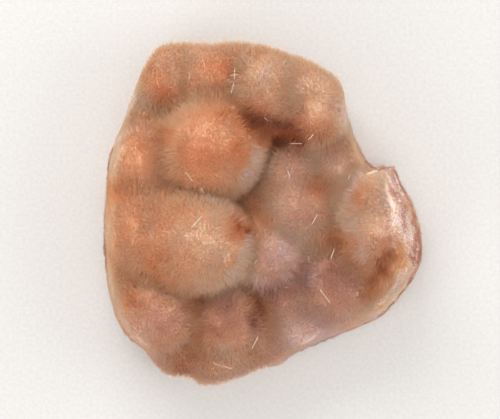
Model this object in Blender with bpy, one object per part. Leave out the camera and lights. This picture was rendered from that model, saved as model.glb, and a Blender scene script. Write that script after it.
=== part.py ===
"""A hand specimen of mesolite: balls of needle crystals grown together on their own broken crust.

Metres, +Z up. The specimen lies on its flat back with the needle balls facing up. The origin is
the middle of the flat back, +X runs across the face of the specimen and +Y up the face.
"""

import math

import bmesh
import bpy
from mathutils import Vector, noise
from mathutils.bvhtree import BVHTree
from mathutils.geometry import delaunay_2d_cdt

MM = 0.001

# How the specimen is built up, from its back to its needle tips
CRUST_TIPS = 20.5 * MM  # mean height of the needle tips on the crust that the balls grow from
CRUST_RELIEF = 2.5 * MM  # how far the crust swells and dips between the balls
RIM_HEIGHT = 45.0 * MM  # the tallest needle tips, and where the rim insets below are taken
BLEND = 3.4 * MM  # how widely needles of both balls fill the crease between two of them

# The solid heart of the mass, and the spines that stand on it
SPINE = 3.2 * MM  # how far the needle tips stand out of the heart
SPINE_SPACING = 3.3 * MM  # distance between neighbouring spines of the faceted solid
SPINE_SPREAD = 0.3  # share by which the length of a spine varies
SPREAD_GRAIN = 0.6  # in spacings, over what distance the length varies
SHORTEST_SPINE = 0.7 * MM
SPINE_SHORTENING = 0.75
CLEAR_REACH = 1.8  # a spine needs open room up to this many times its length
CLEAR_SHARE = 1.6
LEAST_FACING = 0.5  # how squarely a facet has to face the way its spine points
SMALLEST_FACET = 0.3  # as a share of a regular facet, the least that carries a spine
LONGEST_EDGE = 1.55  # in spacings, the longest edge of a facet on the steep side of a ball
SPLIT_ROUNDS = 2
WOBBLE = 0.22  # in spacings, how uneven the facets are
WOBBLE_GRAIN = 0.8  # in spacings, over what distance that varies
RIM_CLEARANCE = 0.55  # in spacings, the least distance from a facet corner to the rim
NUDGE = 0.1 * MM  # the small step that finds which way is out
FALL_STEPS = 40
CLOSE_STEPS = 3  # how often a point is moved on towards the heart

# The sides, under a thin smooth rind
FOOT_CHAMFER = 1.6 * MM  # the worn edge round the flat back
FOOT_HEIGHT = 2.5 * MM
LOWEST_RIM = 12.0 * MM
RIM_STEP = 0.5 * MM
WALL_ROWS = 6
WALL_RELIEF = 1.3 * MM  # low swells of the rind
WALL_GRAIN = 9.0 * MM  # width of one bump of that relief
STEPS_PER_SPAN = 2  # wall facets between two outline points

# The outline of the specimen seen from above, in millimetres, clockwise from its top left corner
OUTLINE = (
    (-31.8, 54.7), (-24.8, 55.2), (-15.2, 54.2), (-7.2, 54.9), (1.8, 52.5), (12.0, 48.6),
    (21.0, 44.8), (24.9, 41.6), (27.2, 34.9), (30.6, 25.3), (33.8, 18.9), (38.0, 14.9),
    (43.4, 15.2), (46.0, 9.9), (49.9, 2.9), (52.5, -6.7), (52.5, -15.4), (48.8, -23.4),
    (43.0, -30.7), (38.4, -34.8), (28.0, -39.7), (18.4, -43.5), (10.4, -47.0), (5.6, -50.2),
    (-4.0, -52.5), (-13.6, -55.0), (-20.0, -55.2), (-23.8, -53.2), (-31.8, -53.0), (-36.0, -49.6),
    (-39.8, -45.1), (-43.9, -41.8), (-47.8, -36.2), (-50.7, -26.9), (-52.5, -11.5), (-52.4, 2.9),
    (-51.0, 17.3), (-48.8, 24.3), (-46.0, 30.9), (-43.0, 38.7), (-39.2, 47.4), (-35.6, 52.4),
)

# How far the sides lean in from the outline, in millimetres: bearing in degrees from +X, inset at
# the foot, inset at RIM_HEIGHT. The needles overhang the foot along the upper edge and at the
# lower left corner. Everywhere else a smooth rind rounds in over the needles.
FLANKS = (
    (0, 0.0, 12.0), (25, 0.0, 9.0), (45, 0.0, 5.0), (60, 2.0, 0.0), (75, 4.0, -3.0),
    (105, 4.5, -3.0), (120, 2.0, 0.0), (140, 0.0, 6.0), (160, 0.0, 8.5), (200, 0.0, 8.5),
    (225, 0.0, 9.0), (240, 1.5, 3.0), (250, 3.0, -4.0), (260, 2.5, -3.0), (275, 0.0, 10.0),
    (295, 0.0, 16.0), (330, 0.0, 15.5),
)

# Each needle ball: x, y and height of its tip in millimetres, and its radius to the needle tips
BALLS = (
    (-31.0, 44.8, 33.0, 11.0),  # upper left corner
    (-17.0, 44.5, 34.5, 11.0),
    (-7.0, 48.5, 31.0, 8.5),  # on the upper edge
    (0.5, 47.0, 30.0, 7.0),
    (9.5, 43.5, 31.0, 7.5),
    (1.8, 41.0, 38.0, 8.5),  # the two long balls over the deep hollow
    (2.6, 34.8, 38.5, 8.7),
    (16.6, 38.0, 39.5, 9.6),
    (17.4, 31.8, 40.5, 10.2),
    (-16.6, 20.8, 43.5, 15.5),  # the large ball of the upper half
    (-39.0, 16.8, 35.0, 13.5),
    (-40.5, 31.5, 28.0, 9.5),
    (-40.5, -3.5, 37.0, 14.0),
    (-43.0, -19.0, 29.0, 9.5),
    (-18.8, -9.8, 45.0, 13.6),  # the large pale ball of the left half
    (-29.0, -8.0, 39.5, 13.0),  # and its broad shoulder
    (-35.0, -33.0, 36.5, 13.2),
    (-12.2, -34.2, 32.0, 11.2),
    (-27.5, -46.0, 27.0, 10.5),
    (-13.6, -47.5, 26.0, 9.5),
    (2.2, -13.0, 33.0, 10.0),  # the low pale balls of the middle
    (12.6, 1.0, 33.0, 10.5),
    (10.4, 14.0, 30.5, 9.5),
    (-2.0, 2.0, 25.0, 8.0),
    (26.0, 17.0, 33.5, 10.8),
    (22.4, -1.5, 30.0, 9.5),
    (37.6, 4.5, 43.5, 11.0),  # the long ball on the right
    (38.8, -5.0, 45.0, 12.0),
    (41.0, -13.0, 35.0, 12.5),  # and its sheared shoulder
    (23.8, -21.5, 30.5, 12.2),
    (8.5, -27.5, 24.0, 9.0),
    (13.6, -37.0, 25.5, 10.0),
    (35.0, -24.5, 25.5, 11.0),
    (0.5, -43.0, 22.5, 9.0),
)

PEACH = (0.71, 0.40, 0.23, 1.0)  # linear base colour of the needle mass


def clear_scene():
    for obj in list(bpy.data.objects):
        bpy.data.objects.remove(obj)


def outline_loop():
    """The outline as a closed smooth line through its points, in metres."""
    count = len(OUTLINE)
    loop = []
    for i in range(count):
        before, start, end, after = (Vector(OUTLINE[(i + k) % count]) for k in (-1, 0, 1, 2))
        for step in range(STEPS_PER_SPAN):
            t = step / STEPS_PER_SPAN
            bend = (2 * before - 5 * start + 4 * end - after) * t * t
            twist = (3 * start - before - 3 * end + after) * t ** 3
            loop.append((start + 0.5 * ((end - before) * t + bend + twist)) * MM)
    return loop


def flank_insets(bearing):
    """(inset at the foot, inset at the rim) of the side on this bearing, in metres."""
    degrees = math.degrees(bearing) % 360
    around = FLANKS + ((FLANKS[0][0] + 360, *FLANKS[0][1:]),)
    for (low, foot, rim), (high, next_foot, next_rim) in zip(around, around[1:]):
        if low <= degrees <= high:
            t = (degrees - low) / (high - low)
            return ((foot + (next_foot - foot) * t) * MM, (rim + (next_rim - rim) * t) * MM)
    return (0.0, 0.0)


def wall_point(point, z):
    """Where the side that starts at this outline point is at height z."""
    foot, rim = flank_insets(math.atan2(point.y, point.x))
    rise = z / RIM_HEIGHT
    bump = noise.noise(Vector((point.x, point.y, z)) / WALL_GRAIN) - 0.5
    inset = foot * (1 - rise) + rim * rise * rise - WALL_RELIEF * bump
    return (point * (1 - inset / point.length)).to_3d() + Vector((0, 0, z))


def skin_gap(point, balls):
    """How far a point is outside the skin of the needle tips; below 0 it is inside."""
    swell = noise.noise(Vector((point.x, point.y, 0.0)) / (2 * WALL_GRAIN))
    gaps = [(point - centre).length - radius for centre, radius in balls]
    gaps.append(point.z - CRUST_TIPS - CRUST_RELIEF * swell)
    return -BLEND * math.log(sum(math.exp(-gap / BLEND) for gap in gaps))


def way_out(point, balls):
    """The direction that leads straight out of the skin here."""
    here = skin_gap(point, balls)
    steps = [Vector((NUDGE, 0, 0)), Vector((0, NUDGE, 0)), Vector((0, 0, NUDGE))]
    return Vector([skin_gap(point + step, balls) - here for step in steps]).normalized()


def rim_height(point, balls):
    """The greatest height at which this side still belongs to the heart."""
    z = RIM_HEIGHT
    while z > LOWEST_RIM and skin_gap(wall_point(point, z), balls) > -SPINE:
        z -= RIM_STEP
    return z


def rim_line(loop, balls):
    """The places where the top of the heart meets the sides, without sudden drops."""
    heights = [rim_height(point, balls) for point in loop]
    last, following = heights[-1:] + heights[:-1], heights[1:] + heights[:1]
    even = [(a + 2 * b + c) / 4 for a, b, c in zip(last, heights, following)]
    return [wall_point(point, z) for point, z in zip(loop, even)]


def fallen(x, y, balls):
    """The place where a point that falls from above meets the heart."""
    point = Vector((x, y, RIM_HEIGHT + SPINE))
    for _ in range(FALL_STEPS):
        point.z -= skin_gap(point, balls) + SPINE
    return point


def inside_rim(place, rim):
    """True if the place lies within the rim as seen from above, and clear of it."""
    crossings = 0
    for start, end in zip(rim, rim[1:] + rim[:1]):
        a, b = start.xy, end.xy
        along = max(0.0, min(1.0, (place - a).dot(b - a) / (b - a).length_squared))
        if (a + (b - a) * along - place).length < RIM_CLEARANCE * SPINE_SPACING:
            return False
        if (a.y > place.y) != (b.y > place.y):
            if place.x < a.x + (b.x - a.x) * (place.y - a.y) / (b.y - a.y):
                crossings += 1
    return crossings % 2 == 1


def inner_places(rim):
    """Places in a triangle pattern, a little uneven, that fill the inside of the rim."""
    places = []
    row_step = SPINE_SPACING * math.sqrt(3) / 2
    half = max(point.length for point in rim)
    for row in range(-int(half / row_step), int(half / row_step) + 1):
        for column in range(-int(half / SPINE_SPACING), int(half / SPINE_SPACING) + 1):
            spot = Vector(((column + row % 2 / 2) * SPINE_SPACING, row * row_step))
            wobble = noise.noise_vector((spot / SPINE_SPACING / WOBBLE_GRAIN).to_3d()).xy
            spot += wobble * WOBBLE * SPINE_SPACING
            if inside_rim(spot, rim):
                places.append(spot)
    return places


def make_top(rim, balls):
    """The top of the heart as an open sheet that ends at the rim, and its rim corners in order."""
    places = inner_places(rim)
    count = len(rim)
    around = [(i, (i + 1) % count) for i in range(count)]
    flat = [point.xy for point in rim] + places
    spots, _, faces, origins, _, _ = delaunay_2d_cdt(flat, around, [], 1, 1e-7)
    bm = bmesh.new()
    corners = {}
    for number, (spot, origin) in enumerate(zip(spots, origins)):
        if origin[0] < count:
            corners[origin[0]] = number
            bm.verts.new(rim[origin[0]])
        else:
            bm.verts.new(fallen(spot.x, spot.y, balls))
    bm.verts.ensure_lookup_table()
    for face in faces:
        bm.faces.new([bm.verts[i] for i in face])
    split_steep_facets(bm, balls)
    bm.verts.ensure_lookup_table()
    return bm, [bm.verts[corners[i]] for i in range(count)]


def split_steep_facets(bm, balls):
    """Halves the long edges on the steep sides of the balls, and rounds them out again."""
    for _ in range(SPLIT_ROUNDS):
        longest = LONGEST_EDGE * SPINE_SPACING
        steep = [e for e in bm.edges if e.calc_length() > longest and not e.is_boundary]
        bmesh.ops.subdivide_edges(bm, edges=steep, cuts=1)
        bmesh.ops.triangulate(bm, faces=bm.faces)
        for vert in bm.verts:
            if not vert.is_boundary:
                pull_to_heart(vert, balls)


def pull_to_heart(vert, balls):
    for _ in range(CLOSE_STEPS):
        vert.co -= way_out(vert.co, balls) * (skin_gap(vert.co, balls) + SPINE)


def add_sides(bm, rim_verts, loop):
    """Rows of facets from the rim down to the flat back, and the back itself."""
    upper = rim_verts
    for row in range(1, WALL_ROWS + 2):
        lower = []
        for start, rim in zip(loop, rim_verts):
            if row <= WALL_ROWS:
                place = wall_point(start, rim.co.z + (FOOT_HEIGHT - rim.co.z) * row / WALL_ROWS)
            else:
                place = wall_point(start, 0.0)
                place *= 1 - FOOT_CHAMFER / place.length
            lower.append(bm.verts.new(place))
        for i in range(len(loop)):
            j = (i + 1) % len(loop)
            bm.faces.new((lower[i], lower[j], upper[j], upper[i]))
        upper = lower
    bm.faces.new(upper)


def spine_length(place):
    """A length that varies from spine to spine, the same each time."""
    return SPINE * (1 + SPINE_SPREAD * noise.noise(place / SPINE_SPACING / SPREAD_GRAIN))


def inside_sides(point, loop):
    """True if the point lies within the sides at its own height."""
    bearing = math.atan2(point.y, point.x)
    nearest = min(loop, key=lambda p: abs(math.remainder(math.atan2(p.y, p.x) - bearing, math.tau)))
    return point.xy.length < wall_point(nearest, point.z).xy.length


def spine_tip(face, balls, loop, heart):
    """The tip of the spine on this facet, or None where it has no room."""
    place = face.calc_center_median()
    out = way_out(place, balls)
    length = spine_length(place)
    while length > SHORTEST_SPINE and face.normal.dot(out) > LEAST_FACING:
        reach = place + out * length * CLEAR_REACH
        clear = heart.find_nearest(reach)[3] > CLEAR_SHARE * length
        if clear and inside_sides(place + out * length, loop):
            return place + out * length
        length *= SPINE_SHORTENING
    return None


def raise_spines(bm, faces, balls, loop):
    """Pokes the facets of the top into spines, and says how many."""
    heart = BVHTree.FromBMesh(bm)
    smallest = SMALLEST_FACET * SPINE_SPACING ** 2 * math.sqrt(3) / 4
    plans = [(f, spine_tip(f, balls, loop, heart)) for f in faces if f.calc_area() > smallest]
    plans = [(face, tip) for face, tip in plans if tip]
    poked = bmesh.ops.poke(bm, faces=[face for face, _ in plans])
    for vert, (_, tip) in zip(poked["verts"], plans):
        vert.co = tip
    return len(plans)


def peach_material():
    material = bpy.data.materials.new("mesolite_needles")
    material.use_nodes = True
    shader = material.node_tree.nodes["Principled BSDF"]
    shader.inputs["Base Color"].default_value = PEACH
    shader.inputs["Roughness"].default_value = 0.55
    shader.inputs["Metallic"].default_value = 0.0
    return material


def main():
    clear_scene()
    loop = outline_loop()
    balls = [(Vector((x, y, top - r)) * MM, r * MM) for x, y, top, r in BALLS]
    bm, rim_verts = make_top(rim_line(loop, balls), balls)
    add_sides(bm, rim_verts, loop)
    bmesh.ops.recalc_face_normals(bm, faces=bm.faces)
    facets = [face for face in bm.faces if len(face.verts) == 3]
    spines = raise_spines(bm, facets, balls, loop)
    bmesh.ops.triangulate(bm, faces=bm.faces)
    mesh = bpy.data.meshes.new("mesolite_mass")
    bm.to_mesh(mesh)
    bm.free()
    mesh.materials.append(peach_material())
    mass = bpy.data.objects.new("mesolite_mass", mesh)
    bpy.context.scene.collection.objects.link(mass)
    print(f"{len(balls)} balls, {spines} spines, {len(mesh.polygons)} faces")


main()
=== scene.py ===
# %% [markdown]
# # A hand specimen of mesolite
#
# Mesolite is a zeolite. It grows as very fine needles, each a fraction of a millimetre thick, that
# fan out from a point. Many fans side by side close up into rounded balls that look like fur or
# velvet. This specimen is a palm-sized piece of such a crust. It lies on its flat broken back, so
# the needle balls face up, and the camera looks down on them.
#
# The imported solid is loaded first. It is the fixed frame: every piece made here has to stay in
# its place and its size.

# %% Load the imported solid
import math

import bmesh
import bpy
import mathutils
import numpy as np
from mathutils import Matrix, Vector


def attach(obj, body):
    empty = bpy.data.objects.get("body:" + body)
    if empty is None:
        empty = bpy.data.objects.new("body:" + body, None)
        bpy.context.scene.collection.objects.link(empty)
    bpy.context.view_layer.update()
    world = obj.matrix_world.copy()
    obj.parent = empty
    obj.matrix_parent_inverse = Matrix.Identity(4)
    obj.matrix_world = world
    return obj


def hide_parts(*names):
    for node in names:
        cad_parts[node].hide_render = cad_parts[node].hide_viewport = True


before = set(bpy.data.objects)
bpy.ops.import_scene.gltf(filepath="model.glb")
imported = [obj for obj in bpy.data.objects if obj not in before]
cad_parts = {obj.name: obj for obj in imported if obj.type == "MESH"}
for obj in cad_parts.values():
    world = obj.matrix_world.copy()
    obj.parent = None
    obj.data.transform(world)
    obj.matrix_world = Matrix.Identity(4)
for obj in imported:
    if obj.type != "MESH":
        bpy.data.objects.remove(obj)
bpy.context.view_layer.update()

# %% [markdown]
# ## Measures of the specimen
#
# All sizes are real millimetres. The outline is what shows from above, as a smooth closed line
# through a few points. The flanks say how far the sides lean in from that line on their way up:
# a smooth rind rounds in over the needles on most sides, and along the upper edge and at the
# lower left corner the needles hang out over the foot instead.
#
# Each ball is a centre, the height of its topmost needle tip and its radius. The last number is
# its tint, from 0, a strong peach orange, through 0.5, beige, to 1, a cool rose.

# %% Sizes, outline and balls
MM = 0.001
CRUST_TOP = 18.0  # height of the crust between the balls, mm
CRUST_RELIEF = 2.5
RIM_HEIGHT = 45.0  # the height that the upper insets of FLANKS are for
RIND_LOSS = 0.65  # mean depth that the hackly relief takes off the sides

OUTLINE = (
    (-31.8, 54.7), (-24.8, 55.2), (-15.2, 54.2), (-7.2, 54.9), (1.8, 52.5), (12, 48.6),
    (21, 44.8), (24.9, 41.6), (27.2, 34.9), (30.6, 25.3), (33.8, 18.9), (38, 14.9),
    (43.4, 15.2), (46, 9.9), (49.9, 2.9), (52.5, -6.7), (52.5, -15.4), (48.8, -23.4),
    (43, -30.7), (38.4, -34.8), (28, -39.7), (18.4, -43.5), (10.4, -47), (5.6, -50.2),
    (-4, -52.5), (-13.6, -55), (-20, -55.2), (-23.8, -53.2), (-31.8, -53), (-36, -49.6),
    (-39.8, -45.1), (-43.9, -41.8), (-47.8, -36.2), (-50.7, -26.9), (-52.5, -11.5), (-52.4, 2.9),
    (-51, 17.3), (-48.8, 24.3), (-46, 30.9), (-43, 38.7), (-39.2, 47.4), (-35.6, 52.4),
)
FLANKS = (  # bearing in degrees from +X, inset at the foot, inset at RIM_HEIGHT
    (0, 0, 12), (25, 0, 9), (45, 0, 5), (60, 2, 0), (75, 4, -3),
    (105, 4.5, -3), (120, 2, 0), (140, 0, 6), (160, 0, 8.5), (200, 0, 8.5),
    (225, 0, 9), (240, 1.5, 3), (250, 3, -4), (260, 2.5, -3), (275, 0, 10),
    (295, 0, 16), (330, 0, 15.5),
)
RAGGED = (  # bearing, and how far the needles themselves are the outline there
    (54, 0), (68, 1), (118, 1), (134, 0), (232, 0), (248, 1), (258, 1), (274, 0),
)
FUR_LINE = (  # bearing, and the share of the wall's height that is bare rind there
    (0, 0.88), (14, 0.84), (30, 0.5), (50, 0.3), (70, 0.25), (120, 0.25), (136, 0.36), (160, 0.46),
    (200, 0.46), (218, 0.36), (238, 0.25), (265, 0.25), (285, 0.28), (310, 0.3), (330, 0.36),
    (346, 0.76),
)
BALLS = (  # x, y, height of the tips, radius, tint
    (-31, 44.8, 33, 11, 0.42),  # upper left corner
    (-17, 44.5, 34.5, 11, 0.36),
    (-7, 48.5, 31, 8.5, 0.38),  # on the upper edge
    (0.5, 47, 30, 7, 0.45),
    (9.5, 43.5, 31, 7.5, 0.50),
    (1.8, 41, 38, 8.5, 0.55),  # the two long balls over the deep hollow
    (2.6, 34.8, 38.5, 8.7, 0.52),
    (16.6, 38, 39.5, 9.6, 0.55),
    (17.4, 31.8, 40.5, 10.2, 0.52),
    (-16.6, 20.8, 43.5, 15.5, 0.12),  # the large ball of the upper half
    (-39, 16.8, 35, 13.5, 0.14),
    (-40.5, 31.5, 28, 9.5, 0.50),
    (-40.5, -3.5, 37, 14, 0.20),
    (-43, -19, 29, 9.5, 0.38),
    (-18.8, -9.8, 45, 13.6, 0.40),  # the large pale ball of the left half
    (-29, -8, 39.5, 13, 0.30),  # and its broad shoulder
    (-35, -33, 36.5, 13.2, 0.58),
    (-12.2, -34.2, 32, 11.2, 0.62),
    (-27.5, -46, 27, 10.5, 0.66),
    (-13.6, -47.5, 26, 9.5, 0.58),
    (2.2, -13, 33, 10, 0.70),  # the low pale balls of the middle
    (12.6, 1, 33, 10.5, 0.66),
    (10.4, 14, 30.5, 9.5, 0.64),
    (-2, 2, 25, 8, 0.25),
    (26, 17, 33.5, 10.8, 0.50),
    (22.4, -1.5, 30, 9.5, 0.60),
    (37.6, 4.5, 43.5, 11, 0.52),  # the long ball on the right
    (38.8, -5, 45, 12, 0.55),
    (41, -13, 35, 12.5, 0.48),  # and its sheared shoulder
    (23.8, -21.5, 30.5, 12.2, 0.74),
    (8.5, -27.5, 24, 9, 0.76),
    (13.6, -37, 25.5, 10, 0.95),
    (35, -24.5, 25.5, 11, 0.68),
    (0.5, -43, 22.5, 9, 0.70),
)
CENTRES = np.array([(x, y, top - r) for x, y, top, r, tint in BALLS])
RADII = np.array([ball[3] for ball in BALLS])
TINTS = np.array([ball[4] for ball in BALLS])
print(len(BALLS), "balls, radii", RADII.min(), "to", RADII.max(), "mm")

# %% [markdown]
# ## Unevenness
#
# Natural surfaces need unevenness that is smooth and comes out the same each time. A noise
# texture can move a mesh too, but the needles need the same unevenness at points that are no
# mesh yet. A sum of plane waves in fixed random directions gives it for many points at once.

# %% Waves and soft steps
def ripple(points, size, seed, waves=16):
    """Smooth unevenness from about -1 to 1 at each point, with bumps of this size in mm."""
    random = np.random.default_rng(seed)
    total = np.zeros(len(points))
    for _ in range(waves):
        way = random.normal(size=3)
        way *= math.tau / (size * 2.2) * random.uniform(0.6, 1.5) / np.linalg.norm(way)
        total += np.sin(points @ way + random.uniform(0, math.tau))
    return total / math.sqrt(waves)


def smoothstep(low, high, value):
    t = np.clip((value - low) / (high - low), 0, 1)
    return t * t * (3 - 2 * t)


print("a soft step half way:", smoothstep(0, 1, 0.5))

# %% [markdown]
# ## The outline and the wall
#
# A curve object could carry the outline. Here it is an array of points on a smooth closed line, so
# the wall can be asked how far out it is on any bearing and at any height.

# %% Outline and wall
def outline_loop(points, steps=6):
    """The outline as a closed smooth line through its points."""
    p = np.array(points)
    before, after, far = np.roll(p, 1, 0), np.roll(p, -1, 0), np.roll(p, -2, 0)
    t = (np.arange(steps) / steps)[None, :, None]
    p, before, after, far = (a[:, None, :] for a in (p, before, after, far))
    bend = (2 * before - 5 * p + 4 * after - far) * t ** 2
    twist = (3 * p - before - 3 * after + far) * t ** 3
    return (p + 0.5 * ((after - before) * t + bend + twist)).reshape(-1, 2)


def bearing_of(points):
    return np.degrees(np.arctan2(points[:, 1], points[:, 0]))


def by_bearing(points, table, column=1):
    """What a column of a table by bearing says in the direction of each point."""
    table = np.asarray(table)
    return np.interp(bearing_of(points), table[:, 0], table[:, column], period=360)


LOOP = outline_loop(OUTLINE)
LOOP_RADIUS = np.column_stack((bearing_of(LOOP), np.linalg.norm(LOOP, axis=1)))


def wall_radius(points):
    """How far from the middle the wall is, on each point's bearing and at its height."""
    rise = np.clip(points[:, 2] / RIM_HEIGHT, 0, 1.2)
    foot, rim = (by_bearing(points, FLANKS, column) for column in (1, 2))
    return by_bearing(points, LOOP_RADIUS) - foot * (1 - rise) - rim * rise ** 2 - RIND_LOSS


def ragged_at(points):
    """1 on the bearings where the needles themselves are the outline, 0 where the rind is."""
    return by_bearing(points, RAGGED)


def wall_gap(points, wall=wall_radius):
    return np.linalg.norm(points[:, :2], axis=1) - wall(points)


print("outline spans", LOOP.min(0), LOOP.max(0), "mm")

# %% [markdown]
# ## Where the needle tips end
#
# On the real piece the balls melt into one another: in the creases between them needles of both
# cross and fill the gap. So the tips end on a blended skin. For any point, the gap to each ball
# and to the tips on the crust is measured, and a soft minimum of all the gaps is taken. It is
# zero on the blended skin, negative inside and positive outside.

# %% The blended skin
BLEND = 3.4  # how widely the creases between balls are filled, mm
CRUST_TIPS = 2.6  # height of the tips above the crust, mm
BED_DEPTH = 1.6  # how far the bed lies below the needle tips
BEARINGS = 420  # places round the wall
LOWEST_RIM = 12.0
HIGHEST = 52.0  # above every needle tip
LEVEL_STEP = 0.25
EDGE = 0.7  # how rounded the edge is where the skin meets the wall, mm


def crust_height(points):
    return CRUST_TOP + CRUST_RELIEF * 0.45 * ripple(points * (1, 1, 0), 12, 3)


def gaps(points):
    """The gap from each point to every ball, and last to the tips on the crust."""
    columns = [np.linalg.norm(points - c, axis=1) - r for c, r in zip(CENTRES, RADII)]
    columns.append(points[:, 2] - crust_height(points) - CRUST_TIPS)
    return np.stack(columns, 1)


def soft_gap(points):
    nearness = np.exp(-np.clip(gaps(points), -40, 40) / BLEND)
    return -BLEND * np.log(nearness.sum(1))


def places_on(wall, heights):
    """A point of this wall on every bearing, at these heights."""
    turn = np.linspace(0, math.tau, BEARINGS, endpoint=False)
    points = np.column_stack((np.cos(turn), np.sin(turn), heights))
    points[:, :2] *= wall(points)[:, None]
    return points


def rim_heights(wall, rounds):
    """How high this wall reaches on every bearing, evened out in some rounds."""
    height = np.full(BEARINGS, LOWEST_RIM)
    for level in np.arange(LOWEST_RIM, HIGHEST, LEVEL_STEP):
        height[soft_gap(places_on(wall, np.full(BEARINGS, level))) < -BED_DEPTH] = level
    for _ in range(rounds):
        height = 0.5 * height + 0.25 * (np.roll(height, 1) + np.roll(height, -1))
    return height


def rounded_max(first, second, edge):
    """The greater of two gaps, so that their skins meet in a rounded edge."""
    return np.maximum(first, second) + edge * np.log1p(np.exp(-np.abs(first - second) / edge))


def outer_gap(points):
    """The gap to the blended skin or the wall, whichever is nearer, with a rounded edge."""
    return rounded_max(soft_gap(points), wall_gap(points), EDGE)


print("the crust is", CRUST_TOP, "mm high, the blend", BLEND, "mm wide")

# %% [markdown]
# ## Where the fur ends on the sides
#
# On the sides the needles were rubbed or broken off up to a wavy line, and the bare rind shows
# below it. A line at one height would cross the low rims, so it is a share of how high the wall
# reaches on each bearing.

# %% The fur line
EVERY_BEARING = np.arange(BEARINGS) * 360 / BEARINGS
FUR_SHARE = np.interp(EVERY_BEARING, *np.array(FUR_LINE).T, period=360)
FUR_HEIGHT = np.column_stack((EVERY_BEARING, rim_heights(wall_radius, 20) * FUR_SHARE))


def furred(points):
    """1 where needles cover the wall, 0 where it is bare rind."""
    above = points[:, 2] - by_bearing(points, FUR_HEIGHT)
    return smoothstep(-2.0, 2.5, above + 1.2 * ripple(points, 6, 18))


print("the fur line lies", FUR_HEIGHT[:, 1].min(), "to", FUR_HEIGHT[:, 1].max(), "mm up")

# %% [markdown]
# ## The bed: packed needles inside a rind
#
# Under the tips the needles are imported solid. Seen from the side and from below this solid is a
# smooth, faintly fibrous rind. It could be sculpted, or joined from one solid per ball, but that
# leaves folds where a ball meets the wall. Here points fall from above until they lie a little
# under the needle tips. The rim of that sheet follows the wall, and rows of points go down the
# wall to the flat back. A remesh makes all the faces alike.

# %% Make the bed
BED_VOXEL = 0.72  # size of the faces after the remesh, mm
RINGS = 66  # rings of points over the top
WALL_ROWS = 56  # and rows of points down the wall
RIM_ROUNDS = 12
SET_BACK = 0.5  # room for the needles on the furred part of the wall, mm
EDGE_SET_BACK = 0.7  # and how much more where the needles are the outline


def bed_wall(points):
    """The wall of the bed: set back where needles cover it."""
    return wall_radius(points) - (SET_BACK + EDGE_SET_BACK * ragged_at(points)) * furred(points)


def fallen(places, gap, rounds=36):
    """Points that fell from above until this gap is left to the blended skin."""
    points = np.column_stack((places, np.full(len(places), HIGHEST)))
    for _ in range(rounds):
        points[:, 2] -= soft_gap(points) - gap
    return points


def loose_bed():
    """The bed as one closed mesh of rings: over the top, down the wall and in to the back."""
    rim_height = rim_heights(bed_wall, RIM_ROUNDS)
    rim = places_on(bed_wall, rim_height)
    rings = [fallen(rim[:, :2] * (k / RINGS), -BED_DEPTH) for k in range(1, RINGS)]
    rings += [places_on(bed_wall, rim_height * (1 - k / WALL_ROWS)) for k in range(WALL_ROWS + 1)]
    middle = fallen(np.zeros((1, 2)), -BED_DEPTH)
    points = np.vstack(rings + [middle, np.zeros((1, 3))])
    step, over = np.arange(BEARINGS), np.roll(np.arange(BEARINGS), -1)
    faces = []
    for k in range(len(rings) - 1):
        a, b = k * BEARINGS, (k + 1) * BEARINGS
        faces += np.column_stack((a + step, b + step, b + over, a + over)).tolist()
    top, last = len(points) - 2, (len(rings) - 1) * BEARINGS
    faces += [(top, int(i), int(j)) for i, j in zip(step, over)]
    faces += [(top + 1, int(last + j), int(last + i)) for i, j in zip(step, over)]
    mesh = bpy.data.meshes.new("mesolite_bed")
    mesh.from_pydata((points * MM).tolist(), [], faces)
    return mesh


def new_object(name, data):
    piece = bpy.data.objects.new(name, data)
    bpy.context.scene.collection.objects.link(piece)
    return piece


def remeshed(piece, voxel):
    modifier = piece.modifiers.new("melt", "REMESH")
    modifier.mode = "VOXEL"
    modifier.voxel_size = voxel * MM
    graph = bpy.context.evaluated_depsgraph_get()
    mesh = bpy.data.meshes.new_from_object(piece.evaluated_get(graph))
    piece.modifiers.clear()
    piece.data = mesh


def get_points(mesh):
    flat = np.empty(len(mesh.vertices) * 3)
    mesh.vertices.foreach_get("co", flat)
    return flat.reshape(-1, 3) / MM


def set_points(mesh, points):
    mesh.vertices.foreach_set("co", (points * MM).ravel())
    mesh.update()


bed = new_object("mesolite_bed", loose_bed())
remeshed(bed, BED_VOXEL)
print(len(bed.data.vertices), "points in the bed")
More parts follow.
